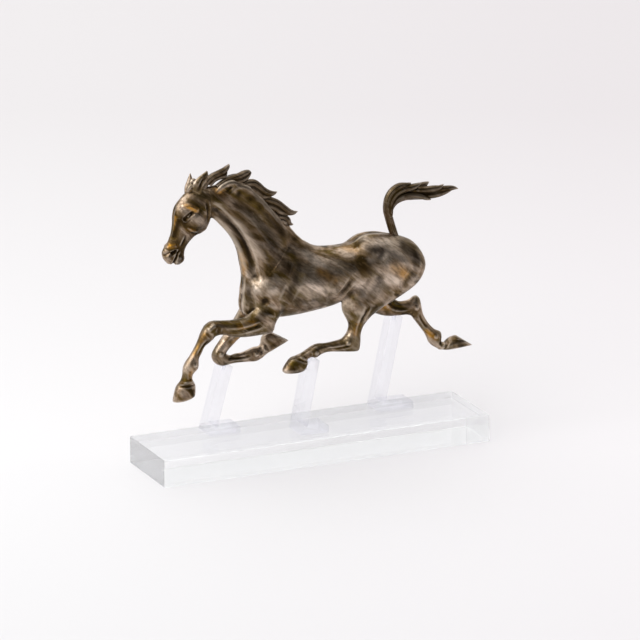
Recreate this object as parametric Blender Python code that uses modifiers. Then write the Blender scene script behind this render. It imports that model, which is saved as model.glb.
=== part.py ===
"""Bronze horse at the gallop on a clear acrylic stand.

Frame: metres, +Z up. The origin is the middle of the base block's underside. The horse runs
towards -X, so its near (left) side faces -Y. Every bronze piece is a loft: each station is a
flat oval given by its two edge points in the side view and its half width across the horse.
Neighbouring pieces keep a gap of 0.3 mm, where the real ones are welded, bonded or pinned.
"""
import math

import bmesh
import bpy
from mathutils import Matrix, Vector

MM = 0.001
GAP = 0.3            # mm between neighbouring pieces

# Driving dimensions in mm
BASE_LENGTH = 484.0
BASE_WIDTH = 119.0
BASE_HEIGHT = 38.0
STRUT_WIDTH = 36.0
STRUT_THICKNESS = 9.5
STRUT_BEND_OUTER = 3.0
STRUT_BEND_INNER = 1.5
SADDLE_RISE = 1.5    # how far a strut's top stands above the seat
PIN_DIAMETER = 4.0
PIN_LENGTH = 12.0
PIN_IN_BRONZE = 5.5
HORSE_Y = 5.0        # the horse's middle plane
NEAR_LEG_Y = -15.0   # middle planes of the legs
FAR_LEG_Y = 27.0
OVAL_SIDES = 16

# Lofts in mm: (edge point x, z), (opposite edge point x, z), half width, y
TORSO = [
    ((-27.0, 307.0), (-103.0, 234.0), 23.0, HORSE_Y),
    ((-19.0, 305.0), (-103.0, 219.0), 27.0, HORSE_Y),
    ((-14.0, 302.5), (-97.0, 206.5), 30.0, HORSE_Y),
    ((-8.0, 300.5), (-80.0, 200.5), 31.0, HORSE_Y),
    ((2.0, 294.0), (-50.0, 198.5), 31.5, HORSE_Y),
    ((13.0, 290.0), (-20.0, 199.0), 33.0, HORSE_Y),
    ((28.0, 288.0), (8.0, 202.0), 34.0, HORSE_Y),
    ((45.0, 287.5), (35.0, 206.5), 34.0, HORSE_Y),
    ((60.0, 290.0), (58.0, 214.0), 33.0, HORSE_Y),
    ((77.0, 298.0), (80.0, 216.0), 34.0, HORSE_Y),
    ((98.0, 300.0), (104.0, 214.0), 34.0, HORSE_Y),
    ((119.0, 295.0), (128.0, 215.0), 32.0, HORSE_Y),
    ((137.0, 287.0), (146.0, 220.0), 28.0, HORSE_Y),
    ((152.0, 279.0), (161.0, 235.0), 21.0, HORSE_Y),
    ((161.5, 268.0), (166.0, 250.0), 11.0, HORSE_Y),
]
NECK = [
    ((-27.0, 307.0), (-103.0, 234.0), 23.0, HORSE_Y),
    ((-30.0, 318.5), (-103.0, 250.0), 21.0, HORSE_Y),
    ((-39.5, 332.5), (-102.0, 266.0), 18.5, HORSE_Y),
    ((-52.0, 347.0), (-103.0, 281.0), 16.5, HORSE_Y),
    ((-65.0, 360.5), (-106.5, 297.5), 15.0, HORSE_Y),
    ((-80.0, 375.0), (-113.5, 313.5), 14.0, HORSE_Y),
    ((-98.0, 386.0), (-122.5, 326.5), 13.0, HORSE_Y),
    ((-118.0, 392.0), (-132.5, 337.5), 12.3, HORSE_Y),
    ((-136.0, 393.0), (-140.0, 345.5), 12.0, HORSE_Y),
    ((-150.0, 391.5), (-145.5, 348.0), 12.3, HORSE_Y),
]
HEAD = [
    ((-150.0, 391.5), (-145.5, 348.0), 12.3, HORSE_Y),
    ((-164.0, 392.5), (-146.0, 344.5), 13.5, HORSE_Y),
    ((-178.0, 388.5), (-148.5, 338.5), 14.5, HORSE_Y),
    ((-189.0, 379.0), (-152.0, 332.5), 15.5, HORSE_Y),
    ((-197.0, 369.0), (-159.0, 328.5), 15.0, HORSE_Y),
    ((-200.0, 358.0), (-166.0, 326.5), 13.0, HORSE_Y),
    ((-201.0, 346.5), (-172.0, 322.5), 11.0, HORSE_Y),
    ((-203.5, 334.0), (-178.0, 316.5), 9.5, HORSE_Y),
    ((-207.0, 322.5), (-182.5, 309.5), 8.6, HORSE_Y),
    ((-211.5, 313.5), (-184.5, 302.5), 8.8, HORSE_Y),
    ((-214.0, 306.5), (-185.5, 296.5), 8.8, HORSE_Y),
    ((-211.5, 299.0), (-187.0, 291.5), 7.6, HORSE_Y),
    ((-206.0, 292.5), (-191.5, 288.5), 5.2, HORSE_Y),
]
NEAR_EAR = [
    ((-176.0, 388.0), (-160.0, 385.0), 3.6, HORSE_Y - 8.5),
    ((-170.5, 400.0), (-154.5, 395.5), 3.4, HORSE_Y - 8.5),
    ((-163.0, 409.0), (-152.0, 405.0), 2.4, HORSE_Y - 8.5),
    ((-154.5, 415.5), (-152.5, 414.0), 0.9, HORSE_Y - 8.5),
]
FAR_EAR = [
    ((-181.0, 382.0), (-167.0, 384.0), 3.6, HORSE_Y + 8.5),
    ((-177.5, 393.0), (-167.5, 394.0), 3.2, HORSE_Y + 8.5),
    ((-173.5, 403.0), (-169.0, 403.0), 2.0, HORSE_Y + 8.5),
    ((-171.5, 409.0), (-170.5, 409.0), 0.8, HORSE_Y + 8.5),
]
NEAR_ELBOW = [
    ((-70.0, 240.0), (-50.0, 208.0), 8.0, HORSE_Y - 15.0),
    ((-82.0, 226.0), (-58.0, 196.5), 10.5, HORSE_Y - 18.0),
    ((-93.0, 216.0), (-66.0, 184.0), 11.5, NEAR_LEG_Y + 1.0),
    ((-104.0, 209.5), (-83.0, 181.5), 11.8, NEAR_LEG_Y),
    ((-114.0, 207.5), (-104.0, 181.5), 11.2, NEAR_LEG_Y),
]
NEAR_FORELEG = [
    ((-114.0, 207.5), (-104.0, 181.5), 11.2, NEAR_LEG_Y),
    ((-126.0, 207.8), (-122.0, 184.0), 10.2, NEAR_LEG_Y),
    ((-139.0, 209.0), (-136.0, 189.0), 9.2, NEAR_LEG_Y),
    ((-152.0, 210.0), (-147.0, 188.5), 9.4, NEAR_LEG_Y),
    ((-162.5, 204.5), (-152.0, 184.0), 9.4, NEAR_LEG_Y),
    ((-169.0, 195.0), (-158.5, 179.5), 8.2, NEAR_LEG_Y),
    ((-173.5, 184.5), (-164.0, 175.5), 6.6, NEAR_LEG_Y),
    ((-179.0, 174.5), (-168.0, 167.5), 6.0, NEAR_LEG_Y),
    ((-184.5, 166.0), (-172.0, 160.0), 6.4, NEAR_LEG_Y),
    ((-191.5, 157.0), (-172.5, 150.5), 7.8, NEAR_LEG_Y),
    ((-195.0, 149.0), (-174.5, 145.5), 7.8, NEAR_LEG_Y),
    ((-196.0, 139.0), (-181.0, 139.5), 6.8, NEAR_LEG_Y),
    ((-199.0, 131.0), (-181.5, 132.0), 7.4, NEAR_LEG_Y),
    ((-205.5, 123.5), (-177.5, 124.0), 9.6, NEAR_LEG_Y),
    ((-210.5, 105.0), (-178.0, 110.5), 11.2, NEAR_LEG_Y),
]
FAR_ELBOW = [
    ((-84.0, 232.0), (-50.0, 212.0), 8.0, HORSE_Y + 15.0),
    ((-94.0, 211.0), (-58.0, 192.0), 11.0, HORSE_Y + 19.0),
    ((-106.0, 190.0), (-77.0, 173.0), 10.5, FAR_LEG_Y),
]
FAR_FORELEG = [
    ((-106.0, 190.0), (-77.0, 173.0), 10.5, FAR_LEG_Y),
    ((-114.5, 179.5), (-90.0, 168.0), 10.0, FAR_LEG_Y),
    ((-123.0, 168.0), (-101.0, 160.0), 9.2, FAR_LEG_Y),
    ((-130.5, 157.0), (-109.0, 153.0), 8.6, FAR_LEG_Y),
    ((-134.5, 147.5), (-114.0, 148.5), 8.8, FAR_LEG_Y),
    ((-132.5, 139.0), (-112.5, 147.0), 8.6, FAR_LEG_Y),
    ((-125.5, 133.0), (-109.5, 145.0), 8.0, FAR_LEG_Y),
    ((-116.5, 131.0), (-106.0, 144.2), 7.0, FAR_LEG_Y),
    ((-105.0, 132.5), (-100.0, 144.8), 6.2, FAR_LEG_Y),
    ((-92.0, 133.0), (-90.0, 145.0), 6.0, FAR_LEG_Y),
    ((-80.0, 132.5), (-80.0, 148.5), 7.2, FAR_LEG_Y),
    ((-71.0, 132.5), (-73.0, 151.5), 8.0, FAR_LEG_Y),
    ((-63.5, 135.0), (-67.5, 151.5), 7.4, FAR_LEG_Y),
    ((-56.0, 139.5), (-64.0, 153.5), 7.0, FAR_LEG_Y),
    ((-48.0, 143.5), (-60.5, 162.0), 9.4, FAR_LEG_Y),
    ((-21.0, 153.5), (-54.0, 167.0), 10.8, FAR_LEG_Y),
]
NEAR_THIGH = [
    ((72.0, 268.0), (153.0, 270.0), 12.0, HORSE_Y - 14.0),
    ((56.0, 246.0), (167.5, 248.0), 16.0, HORSE_Y - 16.0),
    ((45.0, 225.0), (155.0, 226.5), 16.5, HORSE_Y - 18.0),
    ((39.5, 211.0), (128.0, 210.5), 15.0, NEAR_LEG_Y + 1.0),
    ((40.0, 200.5), (103.0, 199.0), 13.0, NEAR_LEG_Y),
    ((44.0, 191.5), (86.0, 189.0), 11.0, NEAR_LEG_Y),
    ((48.0, 184.0), (76.5, 181.0), 9.6, NEAR_LEG_Y),
]
NEAR_HIND_LEG = [
    ((48.0, 184.0), (76.5, 181.0), 9.6, NEAR_LEG_Y),
    ((49.5, 177.0), (70.5, 173.0), 8.6, NEAR_LEG_Y),
    ((47.5, 169.5), (67.5, 163.5), 8.4, NEAR_LEG_Y),
    ((43.0, 163.5), (67.0, 151.5), 8.6, NEAR_LEG_Y),
    ((38.0, 160.5), (64.5, 141.0), 8.4, NEAR_LEG_Y),
    ((33.0, 159.5), (54.0, 140.5), 7.6, NEAR_LEG_Y),
    ((25.0, 158.5), (38.0, 142.5), 6.6, NEAR_LEG_Y),
    ((14.0, 157.7), (20.0, 144.7), 6.0, NEAR_LEG_Y),
    ((4.5, 158.5), (9.0, 143.0), 6.8, NEAR_LEG_Y),
    ((-3.5, 157.0), (0.5, 139.0), 7.8, NEAR_LEG_Y),
    ((-11.5, 152.8), (-5.5, 140.5), 7.4, NEAR_LEG_Y),
    ((-20.0, 148.3), (-11.0, 139.5), 6.8, NEAR_LEG_Y),
    ((-28.0, 145.5), (-12.5, 137.5), 7.4, NEAR_LEG_Y),
    ((-38.5, 142.0), (-11.0, 133.5), 9.4, NEAR_LEG_Y),
    ((-49.5, 123.5), (-13.5, 125.5), 10.8, NEAR_LEG_Y),
]
FAR_THIGH = [
    ((64.0, 262.0), (152.0, 267.0), 12.0, HORSE_Y + 14.0),
    ((60.0, 236.0), (166.0, 247.0), 15.0, HORSE_Y + 16.0),
    ((64.0, 214.0), (160.0, 228.0), 14.5, HORSE_Y + 18.0),
    ((77.0, 196.0), (149.0, 213.0), 13.0, HORSE_Y + 20.0),
    ((95.0, 183.0), (142.0, 201.5), 11.5, FAR_LEG_Y - 1.0),
    ((112.0, 175.0), (138.0, 194.5), 10.2, FAR_LEG_Y),
]
FAR_HIND_LEG = [
    ((112.0, 175.0), (138.0, 194.5), 10.2, FAR_LEG_Y),
    ((126.0, 170.5), (144.0, 189.5), 9.0, FAR_LEG_Y),
    ((141.0, 169.0), (151.0, 187.0), 8.2, FAR_LEG_Y),
    ((154.0, 168.5), (161.0, 188.0), 7.8, FAR_LEG_Y),
    ((161.0, 167.0), (171.0, 192.5), 8.0, FAR_LEG_Y),
    ((164.5, 164.5), (177.0, 189.0), 8.2, FAR_LEG_Y),
    ((167.0, 161.0), (178.5, 178.5), 7.6, FAR_LEG_Y),
    ((170.5, 156.5), (181.0, 167.5), 6.6, FAR_LEG_Y),
    ((174.5, 151.0), (185.5, 158.5), 6.0, FAR_LEG_Y),
    ((179.0, 145.0), (191.0, 150.5), 6.2, FAR_LEG_Y),
    ((184.0, 138.0), (199.0, 142.5), 7.0, FAR_LEG_Y),
    ((187.5, 130.5), (207.5, 138.0), 7.9, FAR_LEG_Y),
    ((190.5, 124.0), (209.5, 131.5), 7.8, FAR_LEG_Y),
    ((197.0, 118.0), (210.0, 125.0), 6.9, FAR_LEG_Y),
    ((207.0, 113.0), (214.5, 122.0), 7.2, FAR_LEG_Y),
    ((221.5, 110.5), (222.0, 128.5), 9.4, FAR_LEG_Y),
    ((256.0, 114.5), (229.0, 130.0), 10.8, FAR_LEG_Y),
]
TAIL_TENON = [
    ((125.5, 281.0), (138.5, 278.5), 5.0, HORSE_Y),
    ((124.5, 291.0), (134.5, 289.5), 5.0, HORSE_Y),
]
TAIL = TAIL_TENON + [
    ((120.0, 300.0), (129.5, 299.5), 4.8, HORSE_Y),
    ((115.5, 310.0), (125.5, 311.0), 5.0, HORSE_Y),
    ((112.0, 322.0), (123.5, 322.0), 5.6, HORSE_Y),
    ((110.5, 335.0), (127.0, 329.5), 6.6, HORSE_Y),
    ((112.5, 347.0), (134.0, 334.5), 7.6, HORSE_Y),
    ((121.0, 356.5), (143.0, 337.0), 8.4, HORSE_Y),
    ((135.0, 362.0), (153.0, 338.0), 8.8, HORSE_Y),
    ((150.0, 363.0), (165.0, 336.5), 8.4, HORSE_Y),
    ((166.0, 360.5), (178.0, 334.5), 7.2, HORSE_Y),
    ((182.0, 359.0), (191.0, 338.0), 5.8, HORSE_Y),
    ((201.0, 355.0), (206.0, 342.5), 3.8, HORSE_Y),
    ((223.5, 346.0), (224.0, 343.5), 1.0, HORSE_Y),
]
# Each mane lock starts inside the crest of the neck and streams back from it
MANE_LOCKS = [
    [
        ((-151.0, 397.0), (-139.0, 389.0), 4.6, HORSE_Y),
        ((-146.0, 406.0), (-138.5, 397.5), 4.6, HORSE_Y),
        ((-137.0, 411.5), (-132.0, 402.5), 4.4, HORSE_Y),
        ((-127.0, 414.0), (-125.5, 404.0), 3.6, HORSE_Y),
        ((-121.5, 416.5), (-121.0, 409.5), 2.2, HORSE_Y),
        ((-118.3, 419.0), (-117.8, 418.0), 0.8, HORSE_Y),
    ],
    [
        ((-131.0, 396.0), (-118.0, 386.5), 5.0, HORSE_Y),
        ((-123.0, 402.5), (-112.0, 390.5), 5.0, HORSE_Y),
        ((-109.0, 404.5), (-102.5, 393.0), 4.8, HORSE_Y),
        ((-97.0, 407.0), (-92.5, 396.0), 4.2, HORSE_Y),
        ((-90.5, 408.0), (-87.0, 400.0), 3.2, HORSE_Y),
        ((-86.8, 406.0), (-86.0, 403.5), 1.2, HORSE_Y),
    ],
    [
        ((-98.0, 391.0), (-90.0, 378.0), 5.0, HORSE_Y),
        ((-89.0, 394.0), (-82.0, 379.5), 5.0, HORSE_Y),
        ((-78.5, 392.0), (-75.0, 377.5), 4.8, HORSE_Y),
        ((-71.0, 384.5), (-68.0, 372.5), 4.2, HORSE_Y),
        ((-64.0, 377.5), (-61.5, 369.0), 3.2, HORSE_Y),
        ((-56.0, 374.0), (-55.0, 369.5), 2.0, HORSE_Y),
        ((-48.0, 373.0), (-47.5, 371.8), 0.8, HORSE_Y),
    ],
    [
        ((-74.0, 371.0), (-66.0, 357.0), 5.0, HORSE_Y),
        ((-67.0, 370.5), (-60.0, 355.5), 5.0, HORSE_Y),
        ((-57.5, 365.5), (-53.5, 350.5), 4.8, HORSE_Y),
        ((-47.0, 361.0), (-46.5, 347.0), 4.2, HORSE_Y),
        ((-38.0, 354.0), (-39.5, 344.0), 3.4, HORSE_Y),
        ((-30.5, 347.0), (-31.5, 341.5), 2.2, HORSE_Y),
        ((-19.5, 342.3), (-19.8, 341.0), 0.8, HORSE_Y),
    ],
    [
        ((-52.0, 344.0), (-43.0, 330.0), 4.8, HORSE_Y),
        ((-44.0, 343.0), (-36.5, 328.5), 4.8, HORSE_Y),
        ((-35.5, 339.5), (-31.5, 328.0), 4.0, HORSE_Y),
        ((-28.5, 333.0), (-27.0, 325.0), 2.6, HORSE_Y),
        ((-23.5, 325.0), (-23.8, 323.5), 0.9, HORSE_Y),
    ],
]
# Struts: name, leg it carries, front x on the base, foot length, lean in degrees, y, seat height
STRUTS = [
    ("front", "far_foreleg", -147.0, 47.0, 15.5, 28.5, 131.5),
    ("middle", "near_hind_leg", -33.5, 43.0, 11.0, -19.5, 140.0),
    ("rear", "far_hind_leg", 106.0, 54.0, 11.8, 29.5, 169.5),
]


def make_material(name, colour, roughness, metallic=0.0, alpha=1.0):
    material = bpy.data.materials.new(name)
    material.use_nodes = True
    shader = material.node_tree.nodes["Principled BSDF"]
    shader.inputs["Base Color"].default_value = (*colour, 1.0)
    shader.inputs["Roughness"].default_value = roughness
    shader.inputs["Metallic"].default_value = metallic
    shader.inputs["Alpha"].default_value = alpha
    return material


def make_object(name, bm, material, collection):
    bmesh.ops.recalc_face_normals(bm, faces=bm.faces)
    mesh = bpy.data.meshes.new(name)
    bm.to_mesh(mesh)
    bm.free()
    mesh.materials.append(material)
    obj = bpy.data.objects.new(name, mesh)
    collection.objects.link(obj)
    return obj


def blend_stations(stations, steps):
    """Stations along a smooth curve through the given ones, with some more between each two."""
    rows = [(*edge, *opposite, width, y) for edge, opposite, width, y in stations]
    smooth = []
    for i in range(len(rows) - 1):
        before = rows[max(i - 1, 0)]
        start = rows[i]
        end = rows[i + 1]
        after = rows[min(i + 2, len(rows) - 1)]
        for step in range(steps):
            t = step / steps
            row = [
                0.5 * (2 * b + (c - a) * t + (2 * a - 5 * b + 4 * c - d) * t**2
                       + (3 * b - a - 3 * c + d) * t**3)
                for a, b, c, d in zip(before, start, end, after)
            ]
            smooth.append(row)
    smooth.append(rows[-1])
    return smooth


def station_frame(row):
    """Middle, half height along the oval's long axis, and the unit normal of its plane."""
    edge = Vector((row[0], row[5], row[1]))
    opposite = Vector((row[2], row[5], row[3]))
    half = (edge - opposite) / 2
    return (edge + opposite) / 2, half, half.cross(Vector((0, 1, 0))).normalized()


def loft(name, stations, material, collection, grow=0.0, steps=2, trim=(0.0, 0.0), sides=OVAL_SIDES):
    """A closed solid through oval stations. trim shortens its first and last end, in mm."""
    rows = blend_stations(stations, steps)
    path = [station_frame(row)[0] for row in rows]
    bm = bmesh.new()
    rings = []
    for i, row in enumerate(rows):
        middle, half, normal = station_frame(row)
        along = path[min(i + 1, len(rows) - 1)] - path[max(i - 1, 0)]
        if normal.dot(along) < 0:
            normal = -normal
        if i == 0:
            middle = middle + normal * trim[0]
        if i == len(rows) - 1:
            middle = middle - normal * trim[1]
        half = half * (1 + grow / half.length)
        width = row[4] + grow
        ring = []
        for k in range(sides):
            angle = 2 * math.pi * k / sides
            point = middle + half * math.cos(angle) + Vector((0, width * math.sin(angle), 0))
            ring.append(bm.verts.new(point * MM))
        rings.append(ring)
    for ring, following in zip(rings, rings[1:]):
        for k in range(sides):
            j = (k + 1) % sides
            bm.faces.new((ring[k], ring[j], following[j], following[k]))
    bm.faces.new(rings[0])
    bm.faces.new(rings[-1])
    obj = make_object(name, bm, material, collection)
    obj.data.shade_smooth()
    return obj


def as_cutter(obj):
    obj.hide_render = True
    obj.display_type = "WIRE"
    return obj


def join_or_cut(obj, other, operation):
    modifier = obj.modifiers.new(f"{operation.lower()}_{other.name}", "BOOLEAN")
    modifier.operation = operation
    modifier.object = other
    modifier.solver = "EXACT"


def strut_outline(front, foot, lean, seat):
    """Side view of a bent strip: a flat foot running back and an upright leaning over it."""
    low = BASE_HEIGHT + GAP
    top = seat + SADDLE_RISE
    angle = math.radians(lean)
    slant = math.tan(angle)
    across = STRUT_THICKNESS / math.cos(angle)
    foot_top = low + STRUT_THICKNESS
    outer = Vector((front, low))
    inner = Vector((front + across + STRUT_THICKNESS * slant, foot_top))
    front_top = Vector((front + (top - low) * slant, top))
    back_top = front_top + Vector((across, 0))
    toe_low = Vector((front + foot, low))
    toe_high = Vector((front + foot, foot_top))
    points = [front_top]
    points += rounded_corner(front_top, outer, toe_low, STRUT_BEND_OUTER)
    points += [toe_low, toe_high]
    points += rounded_corner(toe_high, inner, back_top, STRUT_BEND_INNER)
    points += [back_top]
    return points


def rounded_corner(before, corner, after, radius, segments=4):
    """Points of an arc that rounds the corner between two straight edges."""
    to_before = (before - corner).normalized()
    to_after = (after - corner).normalized()
    half_angle = to_before.angle(to_after) / 2
    bisector = (to_before + to_after).normalized()
    centre = corner + bisector * (radius / math.sin(half_angle))
    start = corner + to_before * (radius / math.tan(half_angle)) - centre
    end = corner + to_after * (radius / math.tan(half_angle)) - centre
    sweep = start.angle_signed(end)
    arc = []
    for i in range(segments + 1):
        turn = -sweep * i / segments
        arc.append(centre + Matrix.Rotation(turn, 2) @ start)
    return arc


def make_strut(name, front, foot, lean, y, seat, material, collection):
    bm = bmesh.new()
    side = y - STRUT_WIDTH / 2
    points = strut_outline(front, foot, lean, seat)
    face = bm.faces.new([bm.verts.new(Vector((x, side, z)) * MM) for x, z in points])
    swept = bmesh.ops.extrude_face_region(bm, geom=[face])
    verts = [item for item in swept["geom"] if isinstance(item, bmesh.types.BMVert)]
    bmesh.ops.translate(bm, verts=verts, vec=(0, STRUT_WIDTH * MM, 0))
    return make_object(name, bm, material, collection)


def make_rod(name, middle, lean, diameter, length, material, collection, sides=24):
    """A round rod that leans towards +X, centred on a point given in mm."""
    bm = bmesh.new()
    place = Matrix.Translation(middle * MM) @ Matrix.Rotation(math.radians(lean), 4, "Y")
    radius = diameter / 2 * MM
    bmesh.ops.create_cone(bm, cap_ends=True, segments=sides, radius1=radius, radius2=radius,
                          depth=length * MM, matrix=place)
    return make_object(name, bm, material, collection)


def make_base(material, collection):
    bm = bmesh.new()
    size = Matrix.Diagonal((BASE_LENGTH * MM, BASE_WIDTH * MM, BASE_HEIGHT * MM, 1))
    bmesh.ops.create_cube(bm, size=1, matrix=Matrix.Translation((0, 0, BASE_HEIGHT / 2 * MM)) @ size)
    base = make_object("base_block", bm, material, collection)
    bevel = base.modifiers.new("polished_edges", "BEVEL")
    bevel.width = 0.5 * MM
    bevel.segments = 1
    return base


def make_horse(bronze, parts, tools):
    """The cast pieces. Butt joints are flat and split the gap; the tail and locks are let in."""
    half = GAP / 2
    nodes = {}
    torso = loft("torso", TORSO, bronze, parts, trim=(half, 0.0))
    lobes = {"near_elbow": NEAR_ELBOW, "far_elbow": FAR_ELBOW, "near_thigh": NEAR_THIGH,
             "far_thigh": FAR_THIGH}
    for name, stations in lobes.items():
        lobe = loft(name, stations, bronze, tools, trim=(0.0, half))
        join_or_cut(torso, as_cutter(lobe), "UNION")
    nodes["neck"] = loft("neck", NECK, bronze, parts, trim=(half, half))
    nodes["head"] = loft("head", HEAD, bronze, parts, trim=(half, 0.0))
    for name, stations in {"near_ear": NEAR_EAR, "far_ear": FAR_EAR}.items():
        ear = loft(name, stations, bronze, tools)
        join_or_cut(nodes["head"], as_cutter(ear), "UNION")
    legs = {"near_foreleg": NEAR_FORELEG, "far_foreleg": FAR_FORELEG,
            "near_hind_leg": NEAR_HIND_LEG, "far_hind_leg": FAR_HIND_LEG}
    for name, stations in legs.items():
        nodes[name] = loft(name, stations, bronze, parts, trim=(half, 0.0))
    nodes["tail"] = loft("tail", TAIL, bronze, parts)
    socket = loft("tail_socket", TAIL_TENON + TAIL[2:4], bronze, tools, grow=GAP, trim=(-GAP, 0.0))
    join_or_cut(torso, as_cutter(socket), "DIFFERENCE")
    for number, stations in enumerate(MANE_LOCKS, start=1):
        loft(f"mane_lock_{number}", stations, bronze, parts, sides=10)
        seat = loft(f"lock_seat_{number}", stations, bronze, tools, grow=GAP, trim=(-GAP, 0.0), sides=10)
        join_or_cut(nodes["neck"], as_cutter(seat), "DIFFERENCE")
    return nodes, legs


def make_stand(acrylic, parts, tools, nodes, legs):
    """The base block, and three struts that are saddled and pegged to the legs they carry."""
    make_base(acrylic, parts)
    for name, leg, front, foot, lean, y, seat in STRUTS:
        strut = make_strut(f"{name}_strut", front, foot, lean, y, seat, acrylic, parts)
        saddle = loft(f"{name}_saddle", legs[leg], acrylic, tools, grow=GAP)
        join_or_cut(strut, as_cutter(saddle), "DIFFERENCE")
        angle = math.radians(lean)
        axis = Vector((math.sin(angle), 0, math.cos(angle)))
        middle_x = front + STRUT_THICKNESS / 2 / math.cos(angle)
        seat_x = middle_x + (seat - BASE_HEIGHT) * math.tan(angle)
        leg_y = NEAR_LEG_Y if leg.startswith("near") else FAR_LEG_Y
        contact = Vector((seat_x, leg_y, seat))
        middle = contact + axis * (PIN_IN_BRONZE - PIN_LENGTH / 2)
        make_rod(f"{name}_pin", middle, lean, PIN_DIAMETER, PIN_LENGTH, acrylic, parts)
        bore = make_rod(f"{name}_bore", middle, lean, PIN_DIAMETER + 2 * GAP, PIN_LENGTH + 2 * GAP,
                        acrylic, tools)
        for piece in (strut, nodes[leg]):
            join_or_cut(piece, as_cutter(bore), "DIFFERENCE")


def main():
    for obj in list(bpy.data.objects):
        bpy.data.objects.remove(obj)
    parts = bpy.data.collections.new("bronze_horse_statue")
    tools = bpy.data.collections.new("cutters")
    for collection in (parts, tools):
        bpy.context.scene.collection.children.link(collection)
    bronze = make_material("patinated_bronze", (0.16, 0.11, 0.075), 0.42, metallic=1.0)
    acrylic = make_material("cast_acrylic", (0.93, 0.95, 0.95), 0.05, alpha=0.35)
    nodes, legs = make_horse(bronze, parts, tools)
    make_stand(acrylic, parts, tools, nodes, legs)


main()
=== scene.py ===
"""Looks of the bronze horse at the gallop on its clear acrylic stand.

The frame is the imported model: metres, +Z up, the origin in the middle of the base's underside.
The horse runs towards -X, and its near (left) side faces -Y. Shapes here are worked out in
millimetres and turned to metres when a mesh is made.
"""
import math

import bmesh
import bpy
import numpy as np
from mathutils import Matrix, Vector


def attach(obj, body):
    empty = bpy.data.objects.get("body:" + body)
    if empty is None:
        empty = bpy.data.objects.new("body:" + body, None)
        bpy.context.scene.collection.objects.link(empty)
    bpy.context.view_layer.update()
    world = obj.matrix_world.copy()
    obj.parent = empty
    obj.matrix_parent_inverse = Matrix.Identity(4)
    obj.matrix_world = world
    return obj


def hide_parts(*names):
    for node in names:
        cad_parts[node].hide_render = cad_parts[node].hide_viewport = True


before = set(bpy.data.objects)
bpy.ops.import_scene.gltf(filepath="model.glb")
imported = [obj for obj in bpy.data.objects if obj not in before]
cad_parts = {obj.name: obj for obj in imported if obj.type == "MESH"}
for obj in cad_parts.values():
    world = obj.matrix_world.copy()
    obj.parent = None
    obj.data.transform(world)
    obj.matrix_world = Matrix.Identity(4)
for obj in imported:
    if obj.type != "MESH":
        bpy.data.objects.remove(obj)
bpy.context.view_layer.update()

MM = 0.001
HORSE_Y = 5.0        # the horse's middle plane
NEAR_LEG_Y = -15.0   # middle planes of the legs
FAR_LEG_Y = 27.0
BODY_GRAIN = 1.05    # mm between the points of the modelled surface
LEG_GRAIN = 0.7
HEAD_GRAIN = 0.5
HAIR_GRAIN = 0.55
LIMB_SIDES = 32      # points around a limb
LIMB_STEPS = 4       # rings from one of its stations to the next
STRAND_SIDES = 14    # points around a strand of hair
STRAND_STEPS = 5     # rings from one point of its path to the next
STROKE_STEPS = 6     # steps from one point of a stroke's path to the next
SEAM_DEPTH = 24      # mm past a leg's or the head's seam, where the cut is centred
SEAM_REACH = 42      # least radius of that cut in mm
CALM_RADIUS = 14     # mm around a seam that blending leaves alone
CALM_RISE = 18       # mm over which blending then comes in
BODY_BLEND = 60      # rounds of smoothing that melt the limbs of a lump together
HEAD_BLEND = 6
RELIEF_BLEND = 24    # rounds that flatten the skin which hollows and ridges are measured from
RELIEF_RANGE = 0.6   # mm of hollow or ridge that the patina and the shade painted into the hollows answer to
HAIR_SHADE = 0.7     # how much darker the hair is left than the body, 0 to 1

TO_THE_BACK = (0.416, 0.909, 0)      # the paper sweep's own directions on the floor
TO_THE_RIGHT = (0.909, -0.416, 0)
CAMERA_AZIMUTH = -24.592             # degrees from the near side, towards the head
CAMERA_ELEVATION = 17.012
CAMERA_DISTANCE = 8.0                # metres from the point that it looks at
CAMERA_TARGET = (0.0100, -0.0083, 0.1890)
CAMERA_LENS = 332.5                  # focal length in mm, on a 36 mm frame

# Lofts in mm: edge point (x, z), opposite edge point (x, z), half width, y, and how much each
# edge is pinched, from 0 for an oval to 1 for a sharp edge
TORSO = [
    ((-27, 307), (-103, 234), 23, HORSE_Y, 0.5, 0.1),
    ((-19, 305), (-104, 218), 27, HORSE_Y, 0.5, 0.1),
    ((-14, 302.5), (-98.5, 205.5), 30, HORSE_Y, 0.5, 0.1),
    ((-8, 300.5), (-80, 200.5), 31, HORSE_Y, 0.45, 0.15),
    ((2, 294), (-50, 197), 31.5, HORSE_Y, 0.35, 0.2),
    ((13, 290), (-20, 197.5), 33, HORSE_Y, 0.2, 0.2),
    ((28, 288), (8, 200.3), 34, HORSE_Y, 0.1, 0.2),
    ((45, 287.5), (35, 204.5), 34, HORSE_Y, 0.05, 0.2),
    ((60, 289.5), (58, 212), 33, HORSE_Y, 0.1, 0.2),
    ((76, 299), (80, 216), 34, HORSE_Y, 0.15, 0.1),
    ((98, 300), (104, 214), 34, HORSE_Y, 0.15, 0.1),
    ((119, 295), (128, 215), 32, HORSE_Y, 0.15, 0.1),
    ((138.5, 288.3), (146, 220), 28, HORSE_Y, 0.15, 0.1),
    ((155, 279.5), (160.5, 235), 21, HORSE_Y, 0.1, 0.1),
    ((165, 267), (166.5, 251), 11, HORSE_Y, 0.0, 0.0),
]
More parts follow.
